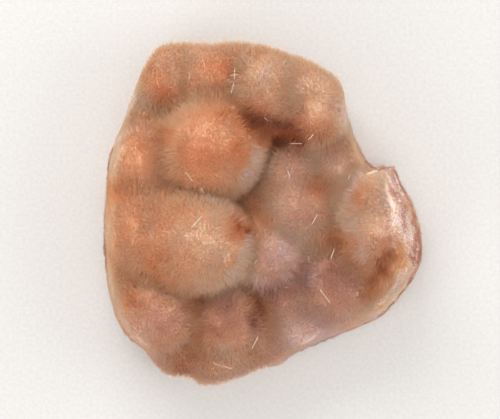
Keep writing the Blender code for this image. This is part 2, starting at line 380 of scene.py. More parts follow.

# %% [markdown]
# ## Stains, painted shade, milky patches and tints
#
# Iron stained the gaps between some balls a deep red brown, and where the crystals are broken or
# closely packed they are milky. The deepest gaps and the lower balls are darkened further with
# painted shade, in the same table as the stains. A painted map could hold this, but the needles
# need it too, at their roots and tips. So each stain, shaded place and patch is a place, a size and
# a strength.

# %% Places of the stains, painted shade and patches
STAINS_AND_SHADE = (  # x, y, radius, strength, shift of the tint: iron stains, and painted shade in dark gaps
    (2.5, 25.5, 5, 1.1, -0.2), (10, 24.5, 5, 1, -0.2), (-4.5, 30, 4.5, 0.7, -0.2),
    (-11.5, 33.5, 4, 0.4, -0.2), (19, 22.5, 4.5, 0.45, 0), (17, 8.5, 3.5, 0.45, -0.3),
    (28, 6.5, 4, 0.5, -0.1), (-31, 38, 4.5, 0.35, -0.3), (-12.8, 45, 4, 0.35, -0.2),
    (-7.5, 19, 4, 0.4, -0.1), (-31, 24.5, 3.5, 0.35, -0.1), (-45, 7, 4, 0.4, -0.2),
    (-6.7, -6, 3.6, 0.9, -0.4), (-9, -1, 3.5, 0.5, -0.4), (-0.6, -3, 4, 0.4, -0.5),
    (-41, -28, 3, 0.5, -0.3), (-21.5, -28.5, 4.5, 0.35, -0.1), (-0.6, -34.5, 4.5, 0.65, 0.1),
    (-2.6, -28, 4, 0.6, -0.5), (-20.5, -40, 3, 0.2, 0), (3.8, -24, 4.5, 0.55, 0.2),
    (12, -21, 5, 0.45, 0.2), (23, -7, 3.5, 0.4, -0.3), (37.8, -18.5, 5, 0.2, -0.2),
    (34.6, -26, 4, 0.4, -0.2), (-33, -16, 5, 0.35, -0.2), (-20, 16, 5, 0.2, -0.1),
    (-12, -34, 10, 0.45, 0), (-27, -47, 10, 0.35, 0), (25, -21, 11, 0.4, 0),
    (38.5, -14.5, 7, 0.6, -0.1), (26.5, -9, 3.5, 0.45, -0.2), (-34, -33, 10, 0.35, 0),
)
PALE = (  # x, y, radius, strength: milky white patches, most of them near the edge
    (43.8, 4.3, 6, 1), (47, -2.7, 5, 1), (42.2, 9.1, 5, 0.6), (49.3, -8.5, 4, 0.7),
    (40.6, -27.7, 6, 0.9), (45.4, -21.3, 5, 0.8), (35.8, -31.5, 4, 0.6), (26.2, 30.6, 4, 0.8),
    (-49.9, 15.5, 4, 0.8), (-47.4, 23.5, 4, 0.7), (-39.4, 35.4, 5, 0.6), (-50.6, -24.5, 5, 0.6),
    (12, -38.9, 5.5, 0.6), (-6.5, -10, 3, 0.4), (6, -9, 6, 0.35), (-51, -6, 4, 0.4),
    (-36, -38, 6, 0.3), (-12, -42.5, 3, 0.4), (-5, 45, 5, 0.2), (-18, -8, 8, 0.25),
    (16.6, 36.3, 6, 0.3), (1.6, 40.2, 6, 0.3), (26.2, 16.5, 7, 0.3), (35.5, -2, 8, 0.3),
)
RIND_TINTS = (  # bearing, and the tint of the rind from 0, pale rose, to 1, violet grey
    (0, 0.08), (20, 0.15), (45, 0.45), (120, 0.45), (150, 0.6), (180, 0.5), (215, 0.6), (240, 0.5),
    (275, 0.7), (300, 0.95), (325, 0.8), (345, 0.3),
)
print(len(STAINS_AND_SHADE), "stains,", len(PALE), "milky patches")

# %% [markdown]
# Functions then say for any point how stained, how deep in a crease and how milky it is. From
# these come its tint and its shade, the two values that the finish of the crystals needs. The
# shade is darker in stains, and darker still with painted shade in dark gaps, creases and low
# parts; creases also get a warmer tint, which is painted shade too.

# %% Tint and shade at any point
BODY_SHADE = 0.45  # shades below it are deep in the body, those above it are pale tips


def nearness(points, x, y, radius):
    """1 at a place, fading to 0 round it."""
    return np.exp(-((points[:, 0] - x) ** 2 + (points[:, 1] - y) ** 2) / radius ** 2)


def stain_and_shade_at(points):
    """How strongly each point is stained or darkened by painted shade, and the shift of its tint."""
    strength, shift = np.zeros(len(points)), np.zeros(len(points))
    for x, y, radius, power, turn in STAINS_AND_SHADE:
        near = nearness(points, x, y, radius)
        strength += power * near
        shift += turn * near
    return strength, shift


def crease_at(points):
    """1 deep in a crease between balls, 0 on a ball."""
    return smoothstep(1.2, 3.6, gaps(points).min(1) - soft_gap(points))


def streaks_at(points, seed=61):
    """Streaks about 1 mm wide that run up the rind, from about -1 to 1."""
    bearing = np.arctan2(points[:, 1], points[:, 0])  # in radians
    unrolled = np.column_stack((bearing * 45, 0.4 * np.sin(bearing * 9), points[:, 2] * 0.14))
    return ripple(unrolled, 1.1, seed)


def pale_at(points):
    """How milky each point is, from 0 to 1."""
    share = np.zeros(len(points))
    for x, y, radius, power in PALE:
        share += power * nearness(points, x, y, radius)
    return np.clip(share * (1 + 0.35 * ripple(points, 2.5, 19)), 0, 1)


def tint_at(points, seed=11):
    """The tint of the nearest balls, blended, with patches a few millimetres wide."""
    weight = np.exp(-np.clip(gaps(points)[:, :-1], -20, 60) / 3.2)
    # Stains shift the tint, both for iron and for the warmer colour of painted shade in dark gaps.
    # Creases are shifted warmer too, as painted shade.
    tint = (weight * TINTS).sum(1) / weight.sum(1) + stain_and_shade_at(points)[1]
    tint += (0.8 - tint) * 0.8 * pale_at(points) - 0.15 * crease_at(points)
    return np.clip(tint + 0.09 * ripple(points, 7, seed) + 0.05 * ripple(points, 3, seed + 1), 0, 1)


def shade_of(points):
    """The shade of the body at a point, from iron stains and painted shade: 0 deep in a gap,
    BODY_SHADE in the open.
    """
    # Painted shade: darker in the low parts of the crust and in creases. The stains add iron stain
    # and painted shade in dark gaps, and the ripple a random tone.
    dark = 0.12 * smoothstep(30, 20, points[:, 2]) + 0.02 * crease_at(points)
    dark += stain_and_shade_at(points)[0] * (1 + 0.3 * ripple(points, 3.0, 15)) + 0.08 * ripple(points, 5.0, 16)
    return BODY_SHADE * (1 - np.clip(dark, 0, 1))


print("tints of the balls' tops:", tint_at(CENTRES + (0, 0, 1) * RADII[:, None]).round(2))

# %% [markdown]
# ## Relief and values of the bed
#
# The remesh leaves small steps, so the bed is smoothed, most of all along the rim, where the rind
# rounds in over the needles. Its points are then pulled to the skin again. Then it gets its
# relief: low swells under the needles, and on the rind wider swells and fine streaks. Four values
# are kept on its points for the finish: how much a point belongs to the rind, the tint of the
# crystals, its shade, from stains and from painted shade where it lies deep, and the tint of the
# rind.

# %% Smooth the bed, give it relief and keep its values
def smoothed(mesh, points, share, rounds):
    """Points drawn towards the mean of their neighbours, each by its share."""
    edges = np.empty(len(mesh.edges) * 2, dtype=np.int64)
    mesh.edges.foreach_get("vertices", edges)
    a, b = edges.reshape(-1, 2).T
    here, there = np.concatenate((a, b)), np.concatenate((b, a))
    count = np.bincount(here, minlength=len(points))
    for _ in range(rounds):
        sums = [np.bincount(here, axis[there], len(points)) / count for axis in points.T]
        points = points + (np.stack(sums, 1) - points) * share[:, None]
    return points


def add_values(mesh, **values):
    for name, numbers in values.items():
        layer = mesh.attributes.new(name, "FLOAT", "POINT")
        layer.data.foreach_set("value", np.asarray(numbers, dtype=np.float32))


def point_normals(mesh):
    flat = np.empty(len(mesh.vertices) * 3)
    mesh.vertices.foreach_get("normal", flat)
    return flat.reshape(-1, 3)


skin = get_points(bed.data)
edge_gap = wall_gap(skin, bed_wall)
loose = smoothstep(0.6, 3.0, skin[:, 2])
skin = smoothed(bed.data, skin, loose * (0.2 + 0.6 * smoothstep(-3.0, -1.0, edge_gap)), 10)
set_points(bed.data, skin)
out = point_normals(bed.data)
edge_gap = wall_gap(skin, bed_wall) + 0.5 * ripple(skin, 5, 17)
rind = smoothstep(-1.9, -0.2, edge_gap) * (1 - furred(skin))
rind = np.maximum(rind, smoothstep(6.0, 4.0, skin[:, 2]))
for _ in range(4):
    depth = rounded_max(soft_gap(skin) + BED_DEPTH, wall_gap(skin, bed_wall), 1.5 * EDGE)
    skin -= out * (np.clip(depth, -1.0, 1.0) * 0.8 * loose)[:, None]
fibre = 0.08 * streaks_at(skin) + 0.12 * ripple(skin, 9, 8)
lift = (1 - rind) * 0.06 * ripple(skin, 2.4, 5) + rind * fibre
skin += out * (lift * loose)[:, None]
skin[skin[:, 2] < 0.45, 2] = 0
set_points(bed.data, skin)
rind_tint = by_bearing(skin, RIND_TINTS) + 0.16 * ripple(skin, 9, 9)
rind_tint -= 0.2 * streaks_at(skin) + 0.4 * pale_at(skin)
# The bed's shade: iron stains, and painted shade in gaps, creases and low parts, raised in milky
# patches.
shade = 0.9 * shade_of(skin) + 0.3 * pale_at(skin)
add_values(bed.data, rind=rind, tint=tint_at(skin), shade=shade, rind_tint=np.clip(rind_tint, 0, 1))
bed.data.shade_smooth()
print("rind share of the bed:", round(float(rind.mean()), 2), "points", len(skin))

# %% [markdown]
# ## The needles
#
# The needles could be hair, but hair isn't a mesh and is lost when the model leaves Blender. So
# each needle here is a three-sided spike of real size, about 0.2 mm thick at its root. A real
# ball has many more and finer ones; these are as coarse as they need to be to show.
#
# The roots are spread evenly over the bed. Chance alone would leave clumps and bald spots, so
# each needle draws its place from its own equal share of the surface.

# %% Places spread over a mesh
def unit(vectors):
    return vectors / np.linalg.norm(vectors, axis=1, keepdims=True)


def scattered(mesh, count, weight, random):
    """Points spread evenly over the triangles of a mesh, in mm, as the point weight allows."""
    mesh.calc_loop_triangles()
    corners = np.empty(len(mesh.loop_triangles) * 3, dtype=np.int64)
    mesh.loop_triangles.foreach_get("vertices", corners)
    corners = corners.reshape(-1, 3)
    places = get_points(mesh)[corners]
    area = np.linalg.norm(np.cross(places[:, 1] - places[:, 0], places[:, 2] - places[:, 0]), axis=1)
    share = area * weight[corners].mean(1)
    even = (np.arange(count) + random.random(count)) / count
    chosen = np.searchsorted(np.cumsum(share) / share.sum(), even).clip(0, len(corners) - 1)
    a, b = np.sqrt(random.random((count, 1))), random.random((count, 1))
    mix = np.stack((1 - a, a * (1 - b), a * b), 1)
    return (places[chosen] * mix).sum(1)


few = scattered(bed.data, 4, np.ones(len(skin)), np.random.default_rng(1))
print("four places on the bed, mm:", few.round(1).tolist())

# %% [markdown]
# A needle belongs to a ball near its root, most often the nearest. It points away from that
# ball's centre, turned part of the way to where the skin faces, so that in a crease the needles
# of both balls stand up and cross. It ends on the blended skin, and is broken off at the wall.

# %% Direction and length of a needle
def skin_normals(points, reach=0.3):
    """Which way the blended skin faces at each point."""
    steps = reach * np.eye(3)
    return unit(np.stack([soft_gap(points + s) - soft_gap(points - s) for s in steps], 1))


SHORTEST = 0.6  # of all needles, mm


def own_ball(roots, random, mixing=0.7):
    """The ball each root belongs to: mostly the nearest, by chance another in a crease."""
    draw = gaps(roots) / mixing + random.gumbel(0, 1, (len(roots), len(BALLS) + 1)) * -1
    return draw.argmin(1)


def away(roots, owner):
    """The direction away from the centre of the owner, or up from the crust."""
    centres = np.vstack((CENTRES, (0, 0, -1e4)))
    crust = owner == len(BALLS)
    way = unit(roots - centres[owner])
    outward = unit(roots * (1, 1, 0)) * smoothstep(-5.0, -1.5, wall_gap(roots))[:, None]
    way[crust] = unit((0, 0, 1) + 3.0 * outward)[crust]
    return way


def needle_tips(roots, way, target, longest):
    """Each tip lies along its way where the blended skin, moved out by the target, is met."""
    length = np.full(len(roots), BED_DEPTH + 0.5)
    for _ in range(6):
        tips = roots + way * length[:, None]
        length = np.clip(length + 0.8 * (target - outer_gap(tips)), SHORTEST, longest)
    return roots + way * length[:, None]


def kept_by_wall(roots, tips, spare, random):
    """Shortens the needles that run past the wall, and drops those that start outside it."""
    toothed = ragged_at(tips)
    spare = random.normal(0.0, spare, len(roots)) + 0.8 * furred(tips)
    spare += toothed * random.exponential(0.5, len(roots))
    for _ in range(6):
        outside = wall_gap(tips) > spare
        tips[outside] = roots[outside] + (tips[outside] - roots[outside]) * 0.72
    return wall_gap(tips) <= spare


print("away from the crust:", away(np.zeros((1, 3)), np.array([len(BALLS)]))[0].round(2))

# %% [markdown]
# The needles of a ball aren't all alike: a quarter are broken short, some stand proud, and in the
# darkest stained and shaded gaps they are short as well. Slow ripples raise and lower whole tufts.

# %% Work out the needles of the fur
NEEDLE_COUNT = 224000
TO_SKIN = 0.8  # how strongly needles turn to where the skin faces
ROOTED = 0.4  # how deep the roots are set in the bed, mm
TUFT_LEAN = 0.04
DISORDER = 0.27
LONGEST = 4.5
SHORT_SHARE = 0.25
PROUD_SHARE = 0.12

random = np.random.default_rng(5)
roots = scattered(bed.data, NEEDLE_COUNT, 1 - smoothstep(0.4, 0.95, rind), random)
owner = own_ball(roots, random)
way = unit(away(roots, owner) + TO_SKIN * skin_normals(roots))
roots -= way * ROOTED
lean = np.stack([ripple(roots, 2.4, 40 + k) for k in range(3)], 1)
way = unit(way + TUFT_LEAN * lean + random.normal(0, DISORDER, roots.shape))
target = 0.3 * ripple(roots, 6.0, 70) + 0.25 * ripple(roots, 2.2, 71)
target -= random.exponential(0.4, len(roots))
short = random.random(len(roots)) < SHORT_SHARE
target[short] -= random.uniform(0.2, 1.0, short.sum())
proud = random.random(len(roots)) < PROUD_SHARE
target[proud] += random.uniform(0.2, 0.9, proud.sum())
target += 0.4 * crease_at(roots) - 1.0 * smoothstep(0.7, 1.3, stain_and_shade_at(roots)[0])
near_wall = smoothstep(-4, -1, wall_gap(roots))
target -= 1.2 * (1 - furred(roots)) * near_wall
target += 0.4 + ragged_at(roots) * random.exponential(0.4, len(roots)) * near_wall
tips = needle_tips(roots, way, target, LONGEST)
keep = kept_by_wall(roots, tips, 0.25, random)
roots, tips, owner = roots[keep], tips[keep], owner[keep]
mean_length = float(np.linalg.norm(tips - roots, axis=1).mean())
print(len(roots), "needles, mean length", round(mean_length, 2), "mm")

# %% [markdown]
# ## Turning needles into meshes
#
# One function makes any number of spikes at once from arrays. It keeps two values on each point:
# the tint of the needle, and its shade, which rises from the root to the tip. The finish is
# painted from these two values alone, so a flat map with the tint across and the shade upwards
# carries it exactly, and the same map serves every needle.

# %% Arrays to a mesh
def cross_axes(axis, random):
    """Two directions across each needle, turned by chance."""
    spare = np.where(np.abs(axis[:, 2:3]) < 0.9, (0.0, 0.0, 1.0), (1.0, 0.0, 0.0))
    first = unit(np.cross(axis, spare))
    second = np.cross(axis, first)
    spin = random.uniform(0, math.tau, (len(axis), 1))
    return first * np.cos(spin) + second * np.sin(spin), second * np.cos(spin) - first * np.sin(spin)


def mesh_of(name, rings, tint, shade):
    """Needles from rings of points. rings is (needles, levels, sides, 3), the last level a tip."""
    count, levels, sides, _ = rings.shape
    body = rings[:, :-1].reshape(count, -1, 3)
    points = np.concatenate((body, rings[:, -1, :1]), 1)
    faces, marks = [], []
    for level in range(levels - 1):
        for side in range(sides):
            a, b = level * sides + side, level * sides + (side + 1) % sides
            if level == levels - 2:
                faces.append((a, b, body.shape[1]))
                marks.append((-1, 1, 0))
            else:
                faces += [(a, b, b + sides), (a, b + sides, a + sides)]
                marks += [(-1, 1, 1), (-1, 1, -1)]
    faces, marks = np.array(faces), np.array(marks)
    corner = (np.arange(count)[:, None, None] * points.shape[1] + faces[None]).reshape(-1)
    mesh = bpy.data.meshes.new(name)
    mesh.vertices.add(count * points.shape[1])
    mesh.loops.add(len(corner))
    mesh.polygons.add(len(corner) // 3)
    mesh.vertices.foreach_set("co", (points * MM).ravel())
    mesh.polygons.foreach_set("loop_start", np.arange(0, len(corner), 3))
    mesh.loops.foreach_set("vertex_index", corner)
    mesh.update(calc_edges=True)
    tints = np.repeat(tint, points.shape[1])
    shades = np.concatenate((np.repeat(shade[:, :-1], sides, 1), shade[:, -1:]), 1).reshape(-1)
    add_values(mesh, tint=tints, shade=shades)
    across = tints[corner] * 0.96 + 0.02 + np.tile(marks.ravel(), count) * 0.004
    bake = mesh.uv_layers.new(name="OFBake")
    bake.data.foreach_set("uv", np.column_stack((across, shades[corner] * 0.96 + 0.02)).ravel())
    return mesh

# %% [markdown]
# Two kinds of needle are enough. A spike has the fewest faces, for those that are seen by the
# thousand. A prism with a blunt point is the true form, for those that are seen one by one.

# %% Spikes and prisms
def ring_round(axis, sides, seed):
    """Directions to the corners round each needle."""
    u, v = cross_axes(axis, np.random.default_rng(seed))
    turn = np.arange(sides) * math.tau / sides
    return u[:, None] * np.cos(turn)[None, :, None] + v[:, None] * np.sin(turn)[None, :, None]


def spikes(name, roots, tips, width, tint, root_shade, tip_shade, seed):
    """Three-sided spikes."""
    ring = ring_round(unit(tips - roots), 3, seed)
    low = roots[:, None] + ring * width[:, None, None]
    high = np.repeat(tips[:, None], 3, 1)
    shade = np.stack((root_shade, tip_shade), 1)
    return new_object(name, mesh_of(name, np.stack((low, high), 1), tint, shade))


def prisms(name, roots, tips, width, tint, root_shade, tip_shade, seed):
    """Four-sided prisms with a blunt point."""
    axis = unit(tips - roots)
    length = np.linalg.norm(tips - roots, axis=1)
    ring = ring_round(axis, 4, seed)
    low = roots[:, None] + ring * width[:, None, None]
    neck = (tips - axis * np.minimum(1.5 * width, 0.3 * length)[:, None])[:, None]
    neck = neck + ring * (0.8 * width)[:, None, None]
    high = np.repeat(tips[:, None], 4, 1)
    shade = np.stack((root_shade, 0.9 * tip_shade + 0.1 * root_shade, tip_shade), 1)
    return new_object(name, mesh_of(name, np.stack((low, neck, high), 1), tint, shade))


print("two kinds of needle:", spikes.__name__, prisms.__name__)

# %% [markdown]
# ## The fur
#
# One mesh for all needles would be too heavy to open, so the fur is six pieces, by balls. The
# shade rises from root to tip, which is painted shade for the depth of the fur. It is lower in
# stained gaps, and lower still in dark gaps, deep creases and low parts, where it is painted shade.
# It is higher in milky patches, and where a needle lies sideways, on the slopes of the balls, it is
# raised by painted light.

# %% Make the fur
GROUPS = {  # numbers of balls, and the crust after the last ball
    "needles_upper_edge": (0, 1, 2, 3, 4, 5, 6, 7, 8, 11),
    "needles_upper_left": (9, 10),
    "needles_middle_left": (12, 13, 14, 15),
    "needles_lower_left": (16, 17, 18, 19, 33),
    "needles_middle": (20, 21, 22, 23, 30, 31, 34),
    "needles_right": (24, 25, 26, 27, 28, 29, 32),
}
ROOT_WIDTH = 0.115  # mean half-thickness at the root, mm
fur = []
for number, (name, members) in enumerate(GROUPS.items()):
    part = np.isin(owner, members)
    random = np.random.default_rng(200 + number)
    start, end = roots[part], tips[part]
    width = ROOT_WIDTH * random.uniform(0.7, 1.3, len(start))
    tint = tint_at(start) + random.normal(0, 0.05, len(start))
    side_painted_light = smoothstep(0.2, 0.8, 1 - unit(end - start)[:, 2])
    pale = pale_at(start)
    # Painted shade: the root darker than the tip, and lower in dark gaps, creases and low parts.
    # Painted light: raised where a needle lies sideways.
    root_shade = 1.15 * shade_of(start) + 0.04 * side_painted_light + 0.35 * pale
    tip_shade = 0.2 + 1.45 * shade_of(end) + 0.1 * side_painted_light + 0.35 * pale
    tip_shade += random.normal(0, 0.06, len(start))
    tint, root_shade, tip_shade = (np.clip(value, 0, 1) for value in (tint, root_shade, tip_shade))
    piece = spikes(name, start, end, width, tint, root_shade, tip_shade, 300 + number)
    fur.append(piece)
    print(name, len(piece.data.polygons), "faces")

# %% [markdown]
# ## Needles that are seen one by one
#
# Along the rims of some balls the needles are longer and colourless, so they catch the light
# singly. Those of the fur could be lengthened there, but they would keep the tint of the ball. So
# these are a piece of their own, spikes 0.1 to 0.25 mm thick, and none stands in a deep stain or
# painted shade. The thickest are pale all along, which is a painted glint.

# %% Rim needles
RIMS = (  # ball, bearing from and to in degrees, lowest and highest tip as a share, how many
    (9, -50, 60, -0.05, 0.55, 1800), (26, 125, 215, -0.05, 0.6, 600), (27, 150, 250, -0.05, 0.6, 760),
    (28, 190, 260, 0, 0.5, 320), (20, 60, 330, 0.05, 0.75, 840), (5, 110, 230, 0, 0.5, 400),
    (6, 140, 290, 0, 0.5, 440), (14, -60, 50, 0, 0.5, 920), (21, 40, 320, 0.2, 0.8, 480),
    (16, -70, 20, 0.1, 0.6, 560), (17, 230, 340, 0, 0.5, 600), (11, 60, 200, 0, 0.8, 520),
    (10, 60, 140, 0.2, 0.8, 360), (8, 190, 330, 0, 0.5, 480), (22, 60, 250, 0.1, 0.7, 440),
)
RIM_DEPTH = 3.2  # how deep under the skin they start, mm


def rim_needles():
    random = np.random.default_rng(21)
    roots, ways = [], []
    for number, start, end, low, high, count in RIMS:
        turn = np.radians(random.uniform(start, end, count))
        height = random.uniform(low, high, count)
        across = np.sqrt(1 - height ** 2)
        way = np.stack((across * np.cos(turn), across * np.sin(turn), height), 1)
        roots.append(CENTRES[number] + way * (RADII[number] - RIM_DEPTH))
        ways.append(unit(way + random.normal(0, 0.26, way.shape)))
    roots, ways = np.vstack(roots), np.vstack(ways)
    shown = soft_gap(roots) > -RIM_DEPTH - 2.5
    roots, ways = roots[shown], ways[shown]
    target = random.uniform(-0.5, 1.6, len(roots))
    tips = needle_tips(roots, ways, target, 6.5)
    keep = kept_by_wall(roots, tips, 0.2, random) & (stain_and_shade_at(tips)[0] < 0.45)
    return roots[keep], tips[keep]


roots, tips = rim_needles()
random = np.random.default_rng(22)
width = random.uniform(0.07, 0.13, len(roots))
# The thickest rim needles are pale from root to tip: painted glints.
width[random.random(len(roots)) < 0.12] = 0.15
tint = np.clip(random.normal(0.75, 0.1, len(roots)), 0, 1)
root_shade = np.where(width > 0.12, 1.0, 0.6)
tip_shade = random.uniform(0.85, 1.0, len(roots))
rims = spikes("rim_needles", roots, tips, width, tint, root_shade, tip_shade, 23)
print(len(roots), "rim needles")

# %% [markdown]
# ## Broken needles
#
# A few broken needles lie across the fur: sixteen that catch the eye, each in its place, and
# forty thin short ones by chance. They could be dropped by a rigid body simulation. Here they
# fall straight down until they meet the skin, and turn to lie along it. They are prisms 0.05 to
# 0.25 mm thick.

# %% Stray needles
STRAYS = (  # x, y, bearing of the needle, length: the broken needles that catch the eye
    (-20.5, -2.4, 53, 4.8), (-2.6, -40.8, 67, 4.5), (-12.8, -48.2, -18, 6), (19.5, -26.1, -52, 5.5),
    (16, -1.8, 65, 3.9), (21.8, -12.6, 65, 3.6), (2.9, -44.6, 17, 5), (-9, 43.2, 0, 2.8),
    (-9, 43.6, 88, 3.4), (-9.6, 39.2, 70, 3.5), (-1.3, 17.8, -5, 3.8), (-23, 11.4, -55, 3.9),
    (14.7, 23.8, 60, 3.2), (10.2, 21.9, 27, 4.3), (8, 12.3, -70, 2.6), (26.6, 11.4, 72, 2),
)
SMALL_STRAYS = 40


def stray_needles():
    """Broken needles that lie across the tips of the balls."""
    random = np.random.default_rng(34)
    bounds = ((-44, 42), (-46, 48), (0, 180), (1.0, 2.4))
    small = np.column_stack([random.uniform(*pair, SMALL_STRAYS) for pair in bounds])
    laid = np.vstack((np.array(STRAYS), small))
    middle = fallen(laid[:, :2], 0.1, rounds=40)
    turn = np.radians(laid[:, 2])
    along = np.column_stack((np.cos(turn), np.sin(turn), 0 * turn))
    normal = skin_normals(middle)
    along = unit(along - normal * (along * normal).sum(1, keepdims=True) + 0.12 * normal)
    half = along * laid[:, 3:] / 2
    keep = wall_gap(middle) < -4
    width = random.uniform(0.09, 0.16, len(STRAYS))
    width = np.concatenate((width, random.uniform(0.04, 0.07, SMALL_STRAYS)))
    return (middle - half)[keep], (middle + half)[keep], width[keep]


roots, tips, width = stray_needles()
ones = np.ones(len(roots))
strays = prisms("stray_needles", roots, tips, width, ones * 0.6, ones * 0.9, ones, 36)
print(len(roots), "stray needles")

# %% [markdown]
# ## The toothed edge
#
# Along the upper edge and at the lower left the needles themselves are the outline, and it is
# toothed. The fur alone is too soft there, so these are prisms 0.1 to 0.2 mm thick that stand out
# from the wall.

# %% Edge needles
def edge_teeth(count=2400):
    """Needles that stick out of the outline where it is toothed."""
    random = np.random.default_rng(41)
    upper = random.uniform(58, 126, 3 * count // 4)
    bearing = np.concatenate((upper, random.uniform(240, 266, count // 4)))
    turn = np.radians(bearing + random.normal(0, 7, count))
    flat = np.column_stack((np.cos(turn), np.sin(turn), 0 * turn))
    at = flat + np.column_stack((0 * turn, 0 * turn, random.triangular(4, 22, 38, count)))
    at[:, :2] *= (wall_radius(at) - 1.4)[:, None]
    lean = random.normal(0, 0.22, flat.shape) + (0, 0, 0.15)
    length = 2.0 + 0.5 * ripple(at, 1.4, 42) + random.exponential(0.2, count)
    tips = at + unit(flat + lean) * length[:, None]
    keep = soft_gap(at) < -0.8
    return at[keep], tips[keep]


roots, tips = edge_teeth()
width = np.random.default_rng(43).uniform(0.07, 0.15, len(roots))
ones = np.ones(len(roots))
teeth = prisms("edge_needles", roots, tips, width, tint_at(roots), ones * 0.5, ones * 0.9, 44)
print(len(roots), "edge needles")

# %% [markdown]
# ## The frosted rind
#
# On the rind the needles were broken or grew pressed against something, so they lie along it,
# fanning up and out from the foot. Their ends give it a frosted, fibrous look, white where the
# break is fresh. A bump in the finish would vanish at the outline, so these too are needles, short
# and low.

# %% Fibres of the rind
FIBRE_COUNT = 40000
FROST = (  # bearing, and how white the fibres are there
    (0, 1), (22, 0.75), (45, 0.45), (120, 0.4), (140, 0.7), (165, 0.55), (190, 0.25), (230, 0.25),
    (275, 0.4), (300, 0.45), (322, 0.85), (345, 0.95),
)


def surface_normals(piece, roots):
    """The normal of the nearest point of a piece, for many roots."""
    kd = mathutils.kdtree.KDTree(len(piece.data.vertices))
    for number, vertex in enumerate(piece.data.vertices):
        kd.insert(vertex.co, number)
    kd.balance()
    normals = point_normals(piece.data)
    return normals[[kd.find(root * MM)[1] for root in roots]]


def rind_fibres():
    random = np.random.default_rng(51)
    weight = smoothstep(0.25, 0.8, rind) * smoothstep(0.8, 1.6, skin[:, 2])
    roots = scattered(bed.data, FIBRE_COUNT, weight, random)
    normal = surface_normals(bed, roots)
    fan = unit(roots - (0, 0, -10))
    fan = unit(fan - normal * (fan * normal).sum(1, keepdims=True))
    lean = np.stack([ripple(roots, 3.5, 52 + k) for k in range(3)], 1)
    way = unit(fan + 0.3 * normal + 0.16 * lean + random.normal(0, 0.12, roots.shape))
    length = random.uniform(0.7, 2.0, len(roots))
    roots -= normal * 0.12
    tips = roots + way * length[:, None]
    tips[:, 2] = np.maximum(tips[:, 2], 0.1)
    return roots, tips


roots, tips = rind_fibres()
random = np.random.default_rng(55)
frost = by_bearing(roots, FROST)
patch = smoothstep(-0.4, 1.2, ripple(roots, 6, 56) + 0.8 * streaks_at(roots))
tip_shade = np.clip(0.36 + 0.64 * frost * patch + random.normal(0, 0.06, len(roots)), 0, 1)
tint = np.clip(0.72 + 0.15 * ripple(roots, 9, 58), 0, 1)
width = random.uniform(0.05, 0.11, len(roots))
fibres = spikes("rind_fibres", roots, tips, width, tint, 0.9 * tip_shade, tip_shade, 59)
print(len(fibres.data.polygons), "fibre faces")

# %% [markdown]
# ## Tools for the finishes
#
# A finish is a tree of nodes, so one function starts a material and others add its nodes. The
# last turns the colours that an eye would pick on a screen into the linear ones that light needs.

# %% Start a finish, add a node, read a colour
def new_material(name, settings):
    """A material, its tree, and its main shader with the settings."""
    material = bpy.data.materials.new(name)
    material.use_nodes = True
    shader = material.node_tree.nodes["Principled BSDF"]
    for key, value in settings.items():
        shader.inputs[key].default_value = value
    return material, material.node_tree, shader


def node(tree, kind, links=None, **settings):
    """Adds a node. Settings name sockets or properties, links give (input, output) pairs."""
    new = tree.nodes.new(kind)
    for key, value in settings.items():
        if key in new.inputs:
            new.inputs[key].default_value = value
        else:
            setattr(new, key, value)
    for socket, source in (links or {}).items():
        tree.links.new(source, new.inputs[socket])
    return new


def attribute(tree, name):
    return node(tree, "ShaderNodeAttribute", attribute_name=name).outputs["Fac"]


def noise(tree, place, scale, detail=2.0):
    links = {"Vector": place}
    return node(tree, "ShaderNodeTexNoise", links=links, Scale=scale, Detail=detail).outputs["Fac"]


def share_between(tree, value, low, high):
    """0 where the value is low, 1 where it is high."""
    limits = {"From Min": low, "From Max": high}
    return node(tree, "ShaderNodeMapRange", links={"Value": value}, **limits).outputs["Result"]


def linear(colour):
    """An sRGB hex colour as linear red, green, blue and 1."""
    value = int(colour.lstrip("#"), 16)
    parts = [(value >> shift & 255) / 255 for shift in (16, 8, 0)]
    return tuple(c / 12.92 if c <= 0.04045 else ((c + 0.055) / 1.055) ** 2.4 for c in parts) + (1.0,)


print("mid grey is", round(linear("#808080")[0], 3))

# %% [markdown]
# ## Finish: mesolite needles
#
# Mesolite is clear and colourless in itself. A trace of iron between the needles gives the peach
# to rose cast. The colour runs from a deep orange brown at the root to a pale cream at the tip, with
# the tint of the ball: the iron tint, and painted shade for the depth of the fur, where light passes
# through the most needles. The deep colours also carry the painted shade of dark gaps and creases.
# Light also passes through the thin needles, which a share of translucent shader gives. The
# refractive index of mesolite is 1.505, and its faces have a glassy to silky lustre.

# %% The palette of the crystals
# The deep colours stand for iron stain and for painted shade: dark gaps, creases and roots deep in
# the fur.
DEEP_COLOURS = (
    (0, "#C65E28"), (0.3, "#B84A18"), (0.55, "#BC6636"), (0.8, "#BA7250"), (1, "#B07464"),
)
BODY_COLOURS = (
    (0, "#FCC898"), (0.3, "#FCD0A6"), (0.55, "#FAD8BA"), (0.8, "#F8D6C4"), (1, "#F4DCD4"),
)
TIP_COLOURS = (
    (0, "#FFEDD2"), (0.3, "#FFF0DA"), (0.55, "#FFF4E4"), (0.8, "#FFF3EC"), (1, "#FDF2F4"),
)
MESOLITE_IOR = 1.505


def set_ramp(ramp_node, stops):
    elements = ramp_node.color_ramp.elements
    for position, colour in stops[1:-1]:
        elements.new(position)
    for element, (position, colour) in zip(elements, stops):
        element.position = position
        element.color = linear(colour)


def ramp(tree, value, stops):
    new = node(tree, "ShaderNodeValToRGB", links={"Fac": value})
    set_ramp(new, stops)
    return new.outputs["Color"]


